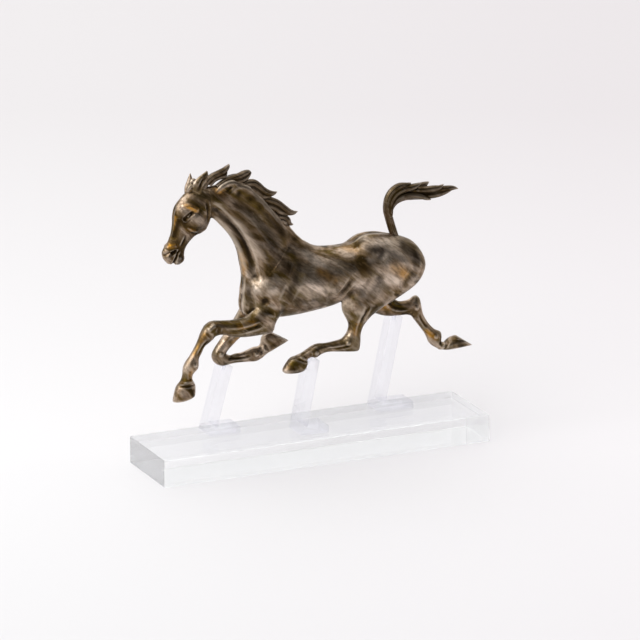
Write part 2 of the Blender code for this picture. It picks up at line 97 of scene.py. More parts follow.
NECK = [
    ((-14, 300), (-92, 222), 24, HORSE_Y, 0.5, 0.1),
    ((-25, 308.5), (-103, 234), 23, HORSE_Y, 0.5, 0.1),
    ((-27, 320), (-101.8, 250), 21, HORSE_Y, 0.55, 0.1),
    ((-37, 334), (-101, 266), 18.5, HORSE_Y, 0.55, 0.15),
    ((-52, 347), (-103, 281), 16.5, HORSE_Y, 0.55, 0.2),
    ((-65, 360.5), (-106.5, 297.5), 15, HORSE_Y, 0.55, 0.2),
    ((-80, 375), (-113.5, 313.5), 14, HORSE_Y, 0.5, 0.2),
    ((-98, 386), (-122.5, 326.5), 13, HORSE_Y, 0.45, 0.2),
    ((-118, 392), (-132.5, 337.5), 12.3, HORSE_Y, 0.4, 0.2),
    ((-136, 393), (-140, 345.5), 12, HORSE_Y, 0.3, 0.2),
    ((-150, 391.5), (-145.5, 348), 12.3, HORSE_Y, 0.2, 0.25),
    ((-160, 391), (-148, 346), 12.5, HORSE_Y, 0.2, 0.25),
]
HEAD = [
    ((-140, 390), (-142, 350), 11, HORSE_Y, 0.25, 0.25),
    ((-150, 391.5), (-145.5, 348), 12.3, HORSE_Y, 0.2, 0.3),
    ((-164, 392.5), (-146, 344.5), 13.5, HORSE_Y, 0.1, 0.35),
    ((-178, 388.5), (-148.5, 338.5), 14.5, HORSE_Y, 0.0, 0.4),
    ((-189, 379), (-152, 332.5), 15.5, HORSE_Y, 0.0, 0.45),
    ((-197, 369), (-159, 328.5), 15, HORSE_Y, 0.0, 0.45),
    ((-200, 358), (-166, 326.5), 13, HORSE_Y, 0.05, 0.4),
    ((-201, 346.5), (-172, 322.5), 11, HORSE_Y, 0.1, 0.35),
    ((-203.5, 334), (-178, 316.5), 9.5, HORSE_Y, 0.1, 0.3),
    ((-207, 322.5), (-182.5, 309.5), 8.6, HORSE_Y, 0.1, 0.2),
    ((-213, 314), (-184, 302.5), 8.8, HORSE_Y, 0.0, 0.1),
    ((-216, 307), (-183.5, 297), 8.8, HORSE_Y, 0.0, 0.1),
    ((-214, 299), (-185, 292.5), 7.6, HORSE_Y, 0.0, 0.1),
    ((-208.5, 292), (-190.5, 289), 5.2, HORSE_Y, 0.0, 0.0),
]
NEAR_EAR = [
    ((-172, 384), (-160, 382), 2.4, HORSE_Y - 6, 0, 0),
    ((-174.5, 393), (-160, 390), 4.0, HORSE_Y - 7.5, 0, 0),
    ((-173.5, 402), (-156.5, 396.5), 4.6, HORSE_Y - 8.5, 0.2, 0.2),
    ((-165, 410), (-152.5, 404), 3.4, HORSE_Y - 9, 0.3, 0.3),
    ((-157.5, 414.5), (-151.8, 410.5), 2.0, HORSE_Y - 9, 0.2, 0.2),
    ((-154, 416.8), (-152.5, 415.5), 0.9, HORSE_Y - 9, 0, 0),
]
FAR_EAR = [
    ((-180, 380), (-168, 380), 2.4, HORSE_Y + 5, 0, 0),
    ((-179, 391), (-167, 391), 3.8, HORSE_Y + 8, 0.1, 0.1),
    ((-175.5, 400), (-167, 401), 3.2, HORSE_Y + 8.5, 0.3, 0.3),
    ((-172.5, 407), (-168.5, 407), 1.8, HORSE_Y + 8.5, 0.3, 0.3),
    ((-171, 410.5), (-170, 410.5), 0.8, HORSE_Y + 8.5, 0, 0),
]
NEAR_FORELEG = [
    ((-62, 252), (-42, 222), 6, HORSE_Y - 12, 0, 0),
    ((-72, 240), (-48, 208), 9, HORSE_Y - 16, 0.1, 0.1),
    ((-82, 226), (-58.5, 194.5), 11.5, HORSE_Y - 18.5, 0.1, 0.2),
    ((-93, 216), (-63, 182.5), 12, NEAR_LEG_Y + 1, 0.1, 0.3),
    ((-104, 209.5), (-83, 181.5), 11.8, NEAR_LEG_Y, 0.1, 0.25),
    ((-114, 207.5), (-104, 181.5), 11.2, NEAR_LEG_Y, 0.1, 0.2),
    ((-126, 207.8), (-122, 184), 10.2, NEAR_LEG_Y, 0.1, 0.2),
    ((-139, 209), (-136, 189), 9.2, NEAR_LEG_Y, 0, 0.1),
    ((-152, 210), (-147, 188.5), 9.4, NEAR_LEG_Y, 0, 0.1),
    ((-162.5, 204.5), (-152, 184), 9.4, NEAR_LEG_Y, 0, 0.2),
    ((-169, 195), (-158.5, 179.5), 8.2, NEAR_LEG_Y, 0, 0.2),
    ((-173.5, 184.5), (-164, 175.5), 6.6, NEAR_LEG_Y, 0, 0.2),
    ((-179, 174.5), (-168, 167.5), 6, NEAR_LEG_Y, 0, 0.2),
    ((-184.5, 166), (-172, 160), 6.4, NEAR_LEG_Y, 0, 0.2),
    ((-191.5, 157), (-172.5, 150.5), 7.8, NEAR_LEG_Y, 0, 0.1),
    ((-195, 149), (-174.5, 145.5), 7.8, NEAR_LEG_Y, 0, 0.1),
    ((-196, 139), (-181, 139.5), 6.8, NEAR_LEG_Y, 0, 0.1),
    ((-199, 131), (-181.5, 132), 7.4, NEAR_LEG_Y, 0, 0.1),
    ((-205.5, 123.5), (-177.5, 124), 9.6, NEAR_LEG_Y, 0, 0.1),
    ((-210, 105.5), (-178, 110.5), 11.2, NEAR_LEG_Y, 0, 0.1),
    ((-207.5, 103.6), (-180.5, 108.6), 9.2, NEAR_LEG_Y, 0, 0.1),
]
FAR_FORELEG = [
    ((-84, 236), (-48, 216), 8, HORSE_Y + 14, 0, 0),
    ((-94, 211), (-58, 192), 11, HORSE_Y + 19, 0.1, 0.2),
    ((-105, 190), (-79, 173.5), 10.5, FAR_LEG_Y, 0.1, 0.2),
    ((-113, 179.5), (-92.5, 168.5), 10, FAR_LEG_Y, 0, 0.2),
    ((-121.5, 168), (-103, 160), 9.2, FAR_LEG_Y, 0, 0.2),
    ((-130, 157), (-110.5, 153.5), 8.6, FAR_LEG_Y, 0, 0.1),
    ((-134.5, 147.5), (-114, 148.5), 8.8, FAR_LEG_Y, 0, 0.1),
    ((-132.5, 139), (-112.5, 147), 8.6, FAR_LEG_Y, 0, 0.1),
    ((-125.5, 133), (-109.5, 145), 8, FAR_LEG_Y, 0, 0.1),
    ((-116.5, 131), (-106, 144.2), 7, FAR_LEG_Y, 0, 0.2),
    ((-105, 132.5), (-100, 145.8), 6.2, FAR_LEG_Y, 0, 0.2),
    ((-92, 132.5), (-90, 146.3), 6, FAR_LEG_Y, 0, 0.2),
    ((-80, 131.7), (-80, 149.3), 7.2, FAR_LEG_Y, 0, 0.1),
    ((-70, 131.3), (-72.5, 151.7), 8, FAR_LEG_Y, 0, 0.1),
    ((-61.5, 134.5), (-66, 151.8), 7.4, FAR_LEG_Y, 0, 0.1),
    ((-54, 139.5), (-62.5, 155), 7, FAR_LEG_Y, 0, 0.1),
    ((-45.5, 143.5), (-60.5, 164.5), 9.4, FAR_LEG_Y, 0, 0.1),
    ((-23, 154), (-52, 170.5), 10.8, FAR_LEG_Y, 0, 0.1),
    ((-24, 155.5), (-49, 170.5), 9, FAR_LEG_Y, 0, 0.1),
]
NEAR_HIND_LEG = [
    ((76, 282), (146, 280), 8, HORSE_Y - 10, 0, 0),
    ((66, 266), (161, 268), 13, HORSE_Y - 14, 0.1, 0.1),
    ((54, 246), (166.5, 248), 16.5, HORSE_Y - 16.5, 0.2, 0.1),
    ((45, 225), (155, 226.5), 17, HORSE_Y - 18, 0.2, 0.2),
    ((39.5, 211), (128, 210.5), 15.5, NEAR_LEG_Y + 1, 0.2, 0.3),
    ((40, 200.5), (103, 199), 13.2, NEAR_LEG_Y, 0.15, 0.35),
    ((44, 191.5), (86, 189), 11, NEAR_LEG_Y, 0.1, 0.35),
    ((48, 184), (76.5, 181), 9.6, NEAR_LEG_Y, 0.1, 0.35),
    ((49.5, 177), (70.5, 173), 8.6, NEAR_LEG_Y, 0.05, 0.35),
    ((47.5, 169.5), (67.5, 163.5), 8.4, NEAR_LEG_Y, 0, 0.35),
    ((43, 163.5), (67, 151.5), 8.6, NEAR_LEG_Y, 0, 0.3),
    ((38, 160.5), (64.5, 141), 8.4, NEAR_LEG_Y, 0, 0.3),
    ((33, 159.5), (54, 140.5), 7.6, NEAR_LEG_Y, 0, 0.3),
    ((25, 158.5), (38, 142.5), 6.6, NEAR_LEG_Y, 0, 0.3),
    ((14, 157.7), (20, 144.7), 6, NEAR_LEG_Y, 0, 0.2),
    ((4.5, 158.5), (9, 143), 6.8, NEAR_LEG_Y, 0, 0.1),
    ((-3.5, 157), (0.5, 139), 7.8, NEAR_LEG_Y, 0, 0.1),
    ((-11.5, 152.8), (-5.5, 140.5), 7.4, NEAR_LEG_Y, 0, 0.1),
    ((-20, 148.3), (-11, 139.5), 6.8, NEAR_LEG_Y, 0, 0.1),
    ((-28, 145.5), (-12.5, 137.5), 7.4, NEAR_LEG_Y, 0, 0.1),
    ((-38.5, 142), (-11, 133.5), 9.4, NEAR_LEG_Y, 0, 0.1),
    ((-48.5, 128), (-13.5, 127), 10.8, NEAR_LEG_Y, 0, 0.1),
    ((-46, 123), (-17, 123.3), 9, NEAR_LEG_Y, 0, 0.1),
]
FAR_HIND_LEG = [
    ((76, 280), (146, 280), 8, HORSE_Y + 10, 0, 0),
    ((64, 262), (154, 267), 12, HORSE_Y + 14, 0, 0),
    ((60, 236), (166, 247), 15.5, HORSE_Y + 16, 0.1, 0.1),
    ((64, 214), (160, 228), 15, HORSE_Y + 18, 0.1, 0.2),
    ((77, 196), (149, 213), 13.5, HORSE_Y + 20, 0.1, 0.2),
    ((95, 183), (142, 201.5), 11.5, FAR_LEG_Y - 1, 0.1, 0.3),
    ((112, 175), (138, 194.5), 10.2, FAR_LEG_Y, 0.05, 0.3),
    ((126, 170.5), (144, 189.5), 9, FAR_LEG_Y, 0, 0.3),
    ((141, 169), (151, 188.5), 8.2, FAR_LEG_Y, 0, 0.3),
    ((154, 168.5), (160.5, 190), 7.8, FAR_LEG_Y, 0, 0.3),
    ((161, 167), (169.5, 194.5), 8, FAR_LEG_Y, 0, 0.35),
    ((164.5, 164.5), (175.8, 189.5), 8.2, FAR_LEG_Y, 0, 0.35),
    ((167, 161), (178.5, 178.5), 7.6, FAR_LEG_Y, 0, 0.3),
    ((170.5, 156.5), (181, 167.5), 6.6, FAR_LEG_Y, 0, 0.2),
    ((174.5, 151), (185.5, 158.5), 6, FAR_LEG_Y, 0, 0.2),
    ((179, 145), (191, 150.5), 6.2, FAR_LEG_Y, 0, 0.2),
    ((184, 138), (199, 142.5), 7, FAR_LEG_Y, 0, 0.1),
    ((187.5, 130.5), (207.5, 138), 7.9, FAR_LEG_Y, 0, 0.1),
    ((190.5, 124), (209.5, 131.5), 7.8, FAR_LEG_Y, 0, 0.1),
    ((197, 118), (209, 124), 6.9, FAR_LEG_Y, 0, 0.1),
    ((207, 112.7), (214.5, 120.8), 7.2, FAR_LEG_Y, 0, 0.1),
    ((221.5, 110), (222, 127), 9.4, FAR_LEG_Y, 0, 0.1),
    ((253.5, 112.3), (230, 129), 10.8, FAR_LEG_Y, 0, 0.1),
    ((254, 114), (233, 128.5), 9, FAR_LEG_Y, 0, 0.1),
]

# Seams in the side view, where two castings are joined: (x, z) to (x, z)
NECK_SEAM = ((-27, 307), (-103, 234))
HEAD_SEAM = ((-150, 391.5), (-145.5, 348))
NEAR_FORE_SEAM = ((-114, 207.5), (-104, 181.5))
FAR_FORE_SEAM = ((-106, 190), (-77, 173))
NEAR_HIND_SEAM = ((48, 184), (76.5, 181))
FAR_HIND_SEAM = ((112, 175), (138, 194.5))

# Modelling strokes on the clay: where, height in mm (minus cuts in), radius, points of its path.
# The neck has its jugular groove, the muscle behind it, a second groove, the muscle under the
# crest and the windpipe.
NECK_STROKES = [
    ("sides", -3.0, 8, [(-152, 372), (-146, 364), (-131, 350), (-116, 333), (-102, 311),
                        (-93, 288), (-88, 262), (-86, 244)]),
    ("sides", 1.8, 11, [(-126, 356), (-104, 334), (-86, 304), (-76, 272)]),
    ("sides", -1.2, 10, [(-132, 376), (-95, 358), (-72, 330), (-56, 308), (-38, 288), (-18, 272)]),
    ("sides", 0.8, 10, [(-112, 380), (-84, 362), (-62, 338), (-42, 316), (-22, 300)]),
    ("sides", 1.4, 8, [(-130, 342), (-112, 320), (-103, 296), (-99, 262)]),
]
MUSCLES = NECK_STROKES + [
    # shoulder: its point, the blade, the hollow under it, triceps and the groove behind
    ("sides", 2.0, 18, [(-82, 248), (-74, 246)]),
    ("sides", 1.6, 18, [(-80, 248), (-60, 266), (-38, 282)]),
    ("sides", -1.6, 9, [(-76, 230)]),
    ("sides", -1.4, 7, [(-86, 224), (-66, 214), (-52, 209)]),
    ("sides", -1.8, 12, [(-20, 284), (-30, 262), (-42, 240), (-50, 222), (-56, 210)]),
    ("sides", 2.6, 20, [(-58, 238), (-62, 222)]),
    ("sides", -2.2, 7, [(-92, 266), (-95, 244), (-94, 222), (-93, 208)]),
    # barrel and flank
    ("sides", 1.6, 30, [(-20, 245), (12, 240)]),
    ("sides", -1.2, 12, [(-40, 218), (-10, 216), (22, 222)]),
    ("sides", -1.7, 7, [(54, 252), (47, 243), (41, 233), (35, 224), (30, 214)]),
    ("sides", -1.4, 16, [(30, 240), (24, 224)]),
    # haunch
    ("sides", 1.6, 15, [(66, 286), (86, 286)]),
    ("sides", -1.6, 12, [(92, 273)]),
    ("sides", 2.0, 28, [(112, 258)]),
    ("sides", 1.6, 16, [(60, 238)]),
    ("near", -1.6, 10, [(138, 278), (146, 256), (139, 240), (122, 226), (104, 214)]),
    ("near", -1.4, 10, [(98, 262), (90, 242), (80, 224), (72, 208)]),
    ("near", 1.2, 12, [(84, 260), (102, 246), (126, 232)]),
    ("near", 1.6, 13, [(60, 218), (62, 200)]),
    ("far", -1.6, 10, [(138, 278), (147, 258), (142, 240), (130, 222)]),
    ("far", -1.4, 10, [(98, 262), (96, 240), (100, 220)]),
    ("rear", -5.0, 8, [(5, 196), (5, 235), (5, 262), (5, 284)]),
    ("front", -3.0, 8, [(5, 190), (5, 220), (5, 245), (5, 270)]),
    ("top", -2.2, 8, [(52, 5), (90, 5), (124, 5)]),
    # near foreleg: forearm, knee, tendons, fetlock
    ("near_leg", -1.8, 5, [(-80, 200), (-98, 196), (-118, 193), (-136, 196)]),
    ("near_leg", 1.2, 8, [(-94, 206), (-118, 203), (-136, 204)]),
    ("near_leg", 1.5, 5, [(-153, 205), (-159, 201)]),
    ("near_leg", -1.0, 4, [(-143, 208), (-146, 198), (-145, 190)]),
    ("near_leg", -1.0, 3.5, [(-165, 199), (-158, 191), (-152, 186)]),
    ("near_leg", -1.6, 3.2, [(-161, 187), (-169, 176), (-176, 164)]),
    ("near_leg", 1.3, 5, [(-180, 153)]),
    ("near_leg", -1.2, 4, [(-187, 144), (-187, 134)]),
    # far foreleg
    ("far_leg", -1.6, 5, [(-80, 194), (-94, 181), (-108, 168), (-118, 157)]),
    ("far_leg", 1.6, 5, [(-124, 149)]),
    ("far_leg", -1.5, 3.2, [(-116, 142), (-102, 141), (-88, 141), (-78, 143)]),
    ("far_leg", 1.3, 5, [(-72, 143)]),
    ("far_leg", -1.0, 4, [(-64, 145)]),
    # near hind leg
    ("near_leg", -1.8, 5, [(74, 208), (68, 192), (62, 174), (60, 160)]),
    ("near_leg", 1.6, 5, [(46, 155)]),
    ("near_leg", -1.5, 3.4, [(52, 152), (40, 150), (26, 149), (12, 150)]),
    ("near_leg", 1.3, 5, [(-1, 147)]),
    ("near_leg", -1.0, 4, [(-11, 146), (-17, 143)]),
    # far hind leg
    ("far_leg", -1.8, 5, [(118, 200), (132, 186), (146, 181), (160, 181)]),
    ("far_leg", 1.6, 5, [(168, 178)]),
    ("far_leg", -1.5, 3.2, [(172, 170), (178, 158), (186, 147)]),
    ("far_leg", 1.3, 5, [(198, 133)]),
    ("far_leg", -1.0, 4, [(206, 122)]),
    # coronets: the ridge above each hoof and the cut under it
    ("near_ring", 1.0, 3.2, [(-200, 130), (-180, 131)]),
    ("near_ring", -0.9, 2.4, [(-204, 125.5), (-177, 126)]),
    ("far_ring", 1.0, 3.2, [(-55, 140), (-63, 154)]),
    ("far_ring", -0.9, 2.4, [(-51, 142), (-61.5, 158)]),
    ("near_ring", 1.0, 3.2, [(-28, 145.5), (-12.5, 137.5)]),
    ("near_ring", -0.9, 2.4, [(-32, 144), (-12, 135)]),
    ("far_ring", 1.0, 3.2, [(206, 113), (214.5, 122)]),
    ("far_ring", -0.9, 2.4, [(211, 111.5), (217.5, 125)]),
]
FACE = [
    ("sides", 2.4, 17, [(-166, 350)]),
    ("sides", -1.8, 4, [(-157, 380), (-154, 367), (-152, 355), (-153, 342)]),
    ("sides", 1.6, 5, [(-188, 371), (-180, 371), (-171, 366)]),
    ("sides", -2.4, 4.6, [(-186.5, 354.5), (-182, 359), (-178, 361.5)]),
    ("sides", 1.3, 2.4, [(-183, 357.5), (-180.5, 360)]),
    ("sides", -0.9, 2.5, [(-187, 351), (-183, 351), (-177, 357)]),
    ("sides", 1.8, 3.4, [(-165, 333), (-176, 337), (-187, 344)]),
    ("sides", -1.6, 6, [(-195, 350), (-197, 341), (-200, 330)]),
    ("sides", -1.4, 4, [(-182, 333), (-188, 322), (-192, 313)]),
    ("sides", 1.0, 3, [(-186, 334), (-191, 322), (-195, 314)]),
    ("sides", -1.0, 3, [(-176, 333), (-168, 330)]),
    ("sides", 1.3, 4.5, [(-209, 316), (-200, 317)]),
    ("sides", -3.4, 4.2, [(-203.5, 307.5), (-200, 309)]),
    ("sides", -2.2, 2.4, [(-193, 313), (-197, 305), (-201, 296), (-201.5, 291)]),
    ("near_ring", -2.6, 3.4, [(-201.5, 287), (-201, 293)]),
    ("far_ring", -2.6, 3.4, [(-201.5, 287), (-201, 293)]),
    ("sides", 1.6, 5, [(-209, 301)]),
    ("sides", 1.8, 5, [(-194, 299), (-196, 295)]),
    ("sides", -1.2, 2.6, [(-214, 305), (-208, 309)]),
    ("near", -2.6, 3.4, [(-167, 393), (-163, 401), (-157, 410)]),
    ("far", -2.0, 2.4, [(-174, 389), (-173, 398), (-171.5, 405)]),
    ("front", -1.2, 4, [(5, 375), (5, 350), (5, 325)]),
]


def linear(value):
    """An sRGB hex colour as linear RGBA."""
    channels = [int(value[i:i + 2], 16) / 255 for i in (1, 3, 5)]
    return [c / 12.92 if c <= 0.04045 else ((c + 0.055) / 1.055) ** 2.4 for c in channels] + [1.0]


def smooth_rows(rows, steps):
    """Rows of numbers along a smooth curve through the given ones, as an array."""
    rows = np.array(rows, float)
    padded = np.vstack([2 * rows[0] - rows[1], rows, 2 * rows[-1] - rows[-2]])
    t = np.linspace(0, 1, steps, endpoint=False)[:, None]
    parts = []
    for a, b, c, d in zip(padded, padded[1:], padded[2:], padded[3:]):
        parts.append(0.5 * (2 * b + (c - a) * t + (2 * a - 5 * b + 4 * c - d) * t**2
                            + (3 * b - a - 3 * c + d) * t**3))
    return np.vstack(parts + [rows[-1:]])


def skin(bm, middles, ups, sides, profile, around):
    """A closed tube: a grid of rings, each with a middle and two half axes, capped at both ends.

    profile(angle, ring) gives how far along the two half axes a point of a ring lies.
    """
    rings = len(middles)
    grid = bmesh.ops.create_grid(bm, x_segments=rings - 1, y_segments=around, size=0.5)["verts"]
    for vert in grid:
        ring = round((vert.co.x + 0.5) * (rings - 1))
        angle = 2 * math.pi * (vert.co.y + 0.5)
        along, across = profile(angle, ring)
        vert.co = Vector(middles[ring] + ups[ring] * along + sides[ring] * across)
    bmesh.ops.remove_doubles(bm, verts=grid, dist=1e-4)
    bmesh.ops.holes_fill(bm, edges=[edge for edge in bm.edges if edge.is_boundary], sides=0)


def loft(bm, stations):
    """One limb of the clay: pinched ovals through its stations."""
    flat = [(*edge, *opposite, *rest) for edge, opposite, *rest in stations]
    rows = smooth_rows(flat, LIMB_STEPS)
    edge = np.stack([rows[:, 0], rows[:, 5], rows[:, 1]], axis=1)
    opposite = np.stack([rows[:, 2], rows[:, 5], rows[:, 3]], axis=1)
    sides = np.stack([0 * rows[:, 4], rows[:, 4], 0 * rows[:, 4]], axis=1)

    def oval(angle, ring):
        along, across = math.cos(angle), math.sin(angle)
        pinch = rows[ring, 6] if along > 0 else rows[ring, 7]
        return along, across * (1 - pinch * abs(along) ** 1.5)

    skin(bm, (edge + opposite) / 2, (edge - opposite) / 2, sides, oval, LIMB_SIDES)


def remesh(bm, grain):
    """The shapes in bm fused into one even skin, with points about grain mm apart."""
    bmesh.ops.recalc_face_normals(bm, faces=bm.faces)
    rough = bpy.data.meshes.new("rough")
    bm.to_mesh(rough)
    bm.free()
    obj = bpy.data.objects.new("rough", rough)
    bpy.context.scene.collection.objects.link(obj)
    voxels = obj.modifiers.new("voxels", "REMESH")
    voxels.mode = "VOXEL"
    voxels.voxel_size = grain
    graph = bpy.context.evaluated_depsgraph_get()
    fused = bpy.data.meshes.new_from_object(obj.evaluated_get(graph))
    bpy.data.objects.remove(obj)
    bpy.data.meshes.remove(rough)
    return fused


class Clay:
    """A fused skin in mm, held as arrays so that strokes and smoothing are quick."""

    def __init__(self, mesh):
        self.mesh = mesh
        self.points = np.empty((len(mesh.vertices), 3))
        mesh.vertices.foreach_get("co", self.points.ravel())
        self.edges = np.empty((len(mesh.edges), 2), int)
        mesh.edges.foreach_get("vertices", self.edges.ravel())
        self.valence = np.bincount(self.edges.ravel(), minlength=len(self.points))[:, None]

    def around(self, values):
        """The mean of each point's neighbours."""
        a, b = self.edges.T
        size = len(self.points)
        total = [np.bincount(a, column[b], size) + np.bincount(b, column[a], size)
                 for column in values.T]
        return np.stack(total, axis=1) / self.valence

    def relax(self, rounds, weight=1.0, keep_size=True):
        """Smooths in rounds; each evens out and then swells back what that took away."""
        for _ in range(rounds):
            self.points += (self.around(self.points) - self.points) * 0.5 * weight
            if keep_size:
                self.points -= (self.around(self.points) - self.points) * 0.51 * weight

    def normals(self):
        """Puts the points back in the mesh and gives its normals."""
        self.mesh.vertices.foreach_set("co", self.points.ravel())
        self.mesh.update()
        found = np.empty((len(self.points), 3))
        self.mesh.vertex_normals.foreach_get("vector", found.ravel())
        return found

    def sculpt(self, strokes):
        """Raises or sinks the skin along its normals, all strokes at once."""
        normals = self.normals()
        lift = np.zeros(len(self.points))
        for where, height, radius, path in strokes:
            lift += height * touch(self.points, normals, where, radius, path)
        self.points += normals * lift[:, None]


def nearest(spots, route):
    """How far each spot is from a route, how far along the route (0 to 1), and its length."""
    if len(route) == 1:
        return np.linalg.norm(spots - route[0], axis=1), 0.5, 0.0
    lengths = np.linalg.norm(np.diff(route, axis=0), axis=1)
    run = np.concatenate([[0], np.cumsum(lengths)])
    best = np.full(len(spots), np.inf)
    place = np.zeros(len(spots))
    for i, (start, end) in enumerate(zip(route, route[1:])):
        step = end - start
        t = np.clip((spots - start) @ step / (step @ step), 0, 1)
        gap = np.linalg.norm(spots - start - t[:, None] * step, axis=1)
        nearer = gap < best
        best = np.where(nearer, gap, best)
        place = np.where(nearer, (run[i] + t * lengths[i]) / run[-1], place)
    return best, place, run[-1]


def touch(points, normals, where, radius, path):
    """How strongly a stroke touches each point, 0 to 1: full on its path, nothing a radius away.

    A stroke on a side leaves alone what faces another way, and a ring goes all round its leg.
    The ends of a long stroke fade out.
    """
    facing = {"near": (0, -1, 0), "far": (0, 1, 0), "front": (-1, 0, 0), "rear": (1, 0, 0),
              "top": (0, 0, 1)}
    axes = {"front": [1, 2], "rear": [1, 2], "top": [0, 1]}.get(where, [0, 2])
    flat = points[:, axes]
    if where.endswith("ring"):
        weight = np.ones(len(points))
    elif where.endswith("leg") or where == "sides":
        weight = np.clip((np.abs(normals[:, 1]) - 0.15) / 0.5, 0, 1)
    else:
        weight = np.clip((normals @ np.array(facing[where]) - 0.15) / 0.5, 0, 1)
    if where.startswith("near"):
        weight = weight * (points[:, 1] < HORSE_Y)
    if where.startswith("far"):
        weight = weight * (points[:, 1] > HORSE_Y)
    route = smooth_rows(path, STROKE_STEPS) if len(path) > 1 else np.array(path, float)
    low, high = route.min(0) - radius, route.max(0) + radius
    close = np.flatnonzero(((flat > low) & (flat < high)).all(1) & (weight > 0))
    found = np.zeros(len(points))
    if len(close):
        gap, place, length = nearest(flat[close], route)
        reach = np.clip(1 - (gap / radius) ** 2, 0, 1) ** 2
        if length > 4 * radius:
            fade = np.clip(np.minimum(place, 1 - place) * length / (2.5 * radius), 0, 1)
            reach *= fade * fade * (3 - 2 * fade)
        found[close] = reach * weight[close]
    return found


def cut_seam(bm, seam, keep, side):
    """Cuts a seam's plane through the clay, drops what is beyond it and closes the cut.

    keep is a point (x, z) on the side that stays. side says how far the cut goes: near or far
    for one leg, both for what lies within reach of the seam, or all.
    """
    start, end = (Vector((x, 0, z)) for x, z in seam)
    middle = (start + end) / 2
    outward = (end - start).cross(Vector((0, 1, 0))).normalized()
    if outward.dot(Vector((keep[0], 0, keep[1])) - middle) > 0:
        outward = -outward
    centre = middle + outward * SEAM_DEPTH
    reach = max((end - start).length + 6, SEAM_REACH)
    faces = []
    for face in bm.faces:
        spot = face.calc_center_bounds()
        if side == "near" and spot.y > HORSE_Y or side == "far" and spot.y < HORSE_Y:
            continue
        spot.y = 0
        if side == "all" or (spot - centre).length < reach:
            faces.append(face)
    geom = faces + list({e for f in faces for e in f.edges} | {v for f in faces for v in f.verts})
    bmesh.ops.bisect_plane(bm, geom=geom, dist=1e-5, plane_co=start, plane_no=outward,
                           clear_outer=True)
    rim = [edge for edge in bm.edges if edge.is_boundary]
    caps = bmesh.ops.holes_fill(bm, edges=rim, sides=0)["faces"]
    bmesh.ops.triangulate(bm, faces=caps)


def finish_piece(name, mesh, bronze):
    """A piece in metres that rides on the body and stands for the CAD node of its name."""
    mesh.transform(Matrix.Scale(MM, 4))
    mesh.name = name
    mesh.materials.clear()
    mesh.materials.append(bronze)
    mesh.shade_smooth()
    obj = bpy.data.objects.new(name, mesh)
    bpy.context.scene.collection.objects.link(obj)
    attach(obj, "root")
    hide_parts(name)


def set_layer(mesh, name, values):
    """One number for each point, which the patina reads by this name."""
    layer = mesh.attributes.new(name, "FLOAT", "POINT")
    layer.data.foreach_set("value", np.ascontiguousarray(values, dtype=np.float32))


def paint(clay, shade=0.0):
    """The patina's layers with painted light: hollows and ridges, rubbed places and painted highlights,
    dark places and painted shade.

    shade darkens the whole casting.
    """
    normals = clay.normals()
    mesh = clay.mesh
    soft = Clay(mesh)
    soft.relax(RELIEF_BLEND, keep_size=False)
    # hollows found here are darkened partly as patina and partly as painted shade; ridges are lightened
    # as rubbed metal
    relief = ((clay.points - soft.points) * normals).sum(1)
    set_layer(mesh, "relief", relief)
    for layer, strokes in PATINA_AND_PAINTED_LIGHT.items():
        amount = np.full(len(clay.points), shade if layer == "dark" else 0.0)
        for where, strength, radius, path in strokes:
            amount += strength * touch(clay.points, normals, where, radius, path)
        set_layer(mesh, layer, np.clip(amount, 0, 1))


def calm(points, seams):
    """0 at the leg and head seams, so that both sides of each stay alike, rising to 1 near by."""
    weight = np.ones(len(points))
    for seam, _, side in seams:
        if side == "all":
            continue
        middle = np.mean(seam, axis=0)
        gap = np.hypot(points[:, 0] - middle[0], points[:, 2] - middle[1])
        rise = np.clip((gap - CALM_RADIUS) / CALM_RISE, 0, 1)
        if side == "near":
            rise[points[:, 1] > HORSE_Y] = 1
        if side == "far":
            rise[points[:, 1] < HORSE_Y] = 1
        weight = np.minimum(weight, rise)
    return weight[:, None]


def cast(pieces, grain, limbs, strokes, blend, bronze, hair=()):
    """One lump of clay: limbs fused, blended, modelled and painted, then parted into castings.

    pieces has, for each casting's name, the seams that bound it as cut_seam takes them; blend is
    how many rounds the flanks are smoothed, and hair is fused into the lump.
    """
    bm = bmesh.new()
    for stations in limbs:
        loft(bm, stations)
    for start_y, end_y, radius, path in hair:
        strand(bm, start_y, end_y, radius, path)
    clay = Clay(remesh(bm, grain))
    clay.relax(6)
    # Only what faces sideways is blended, so that the outline in the side view stays
    flanks = np.clip(np.abs(clay.normals()[:, 1:2]) * 1.6 - 0.3, 0, 1)
    seams = [seam for bounds in pieces.values() for seam in bounds]
    clay.relax(blend, calm(clay.points, seams) * flanks, keep_size=False)
    clay.sculpt(strokes)
    clay.relax(3)
    paint(clay)
    for name, bounds in pieces.items():
        bm = bmesh.new()
        bm.from_mesh(clay.mesh)
        for seam, keep, side in bounds:
            cut_seam(bm, seam, keep, side)
        mesh = clay.mesh.copy()
        bm.to_mesh(mesh)
        bm.free()
        finish_piece(name, mesh, bronze)


